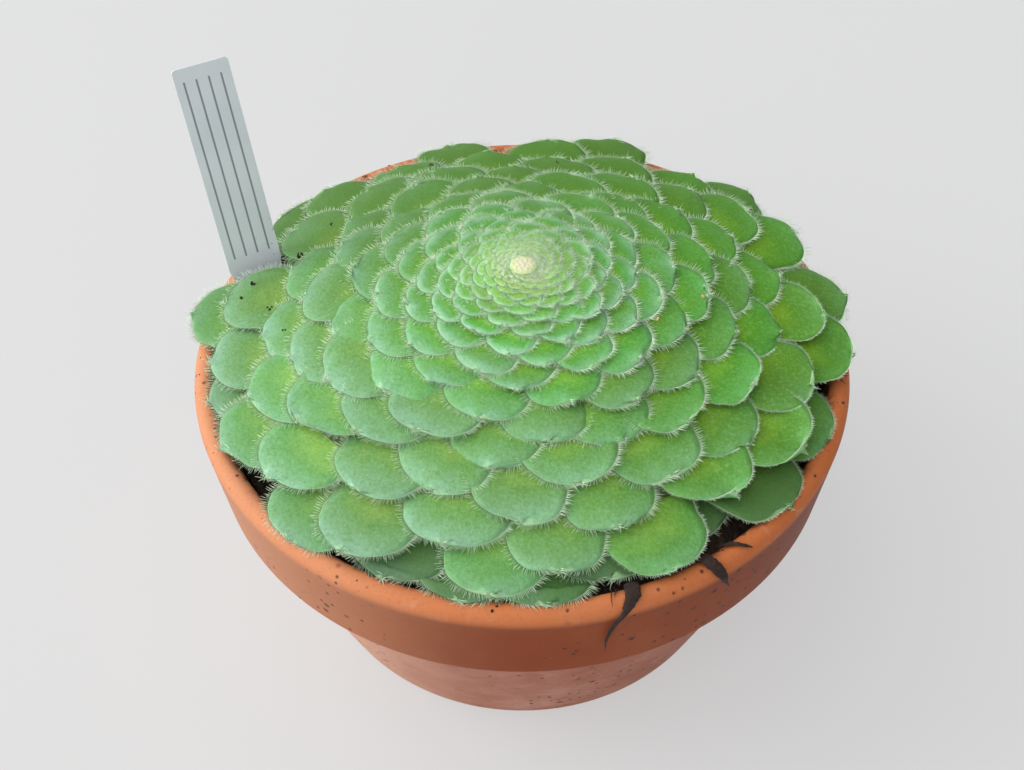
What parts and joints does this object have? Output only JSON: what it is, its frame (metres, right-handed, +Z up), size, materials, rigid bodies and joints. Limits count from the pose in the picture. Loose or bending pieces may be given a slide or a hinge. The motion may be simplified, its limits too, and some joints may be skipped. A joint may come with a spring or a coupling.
{
  "type": "potted aeonium",
  "caption": "Flat round rosette of broad overlapping fringed leaves filling a terracotta half pot, with soil, a short stem and a bare plant label.",
  "frame": {"origin": "middle of the pot's flat base, on the surface it stands on", "axes": "+Z up along the pot's axis; -Y is the front, towards the camera; the label stands at the back left, at -X and +Y"},
  "size_m": [0.2055, 0.2, 0.1686],
  "materials": {
    "terracotta": "fired clay, matt and dusty",
    "soil": "damp potting soil",
    "bark": "rough bark",
    "leaf": "velvety, finely haired",
    "label": "satin",
    "wilted": "dry and matt"
  },
  "bodies": {
    "root": {"pot": "terracotta", "soil": "soil", "stem": "bark", "rosette": "leaf", "plant_label": "label", "dried_leaf": "wilted", "dried_root": "wilted", "twig": "wilted"}
  },
  "joints": []
}
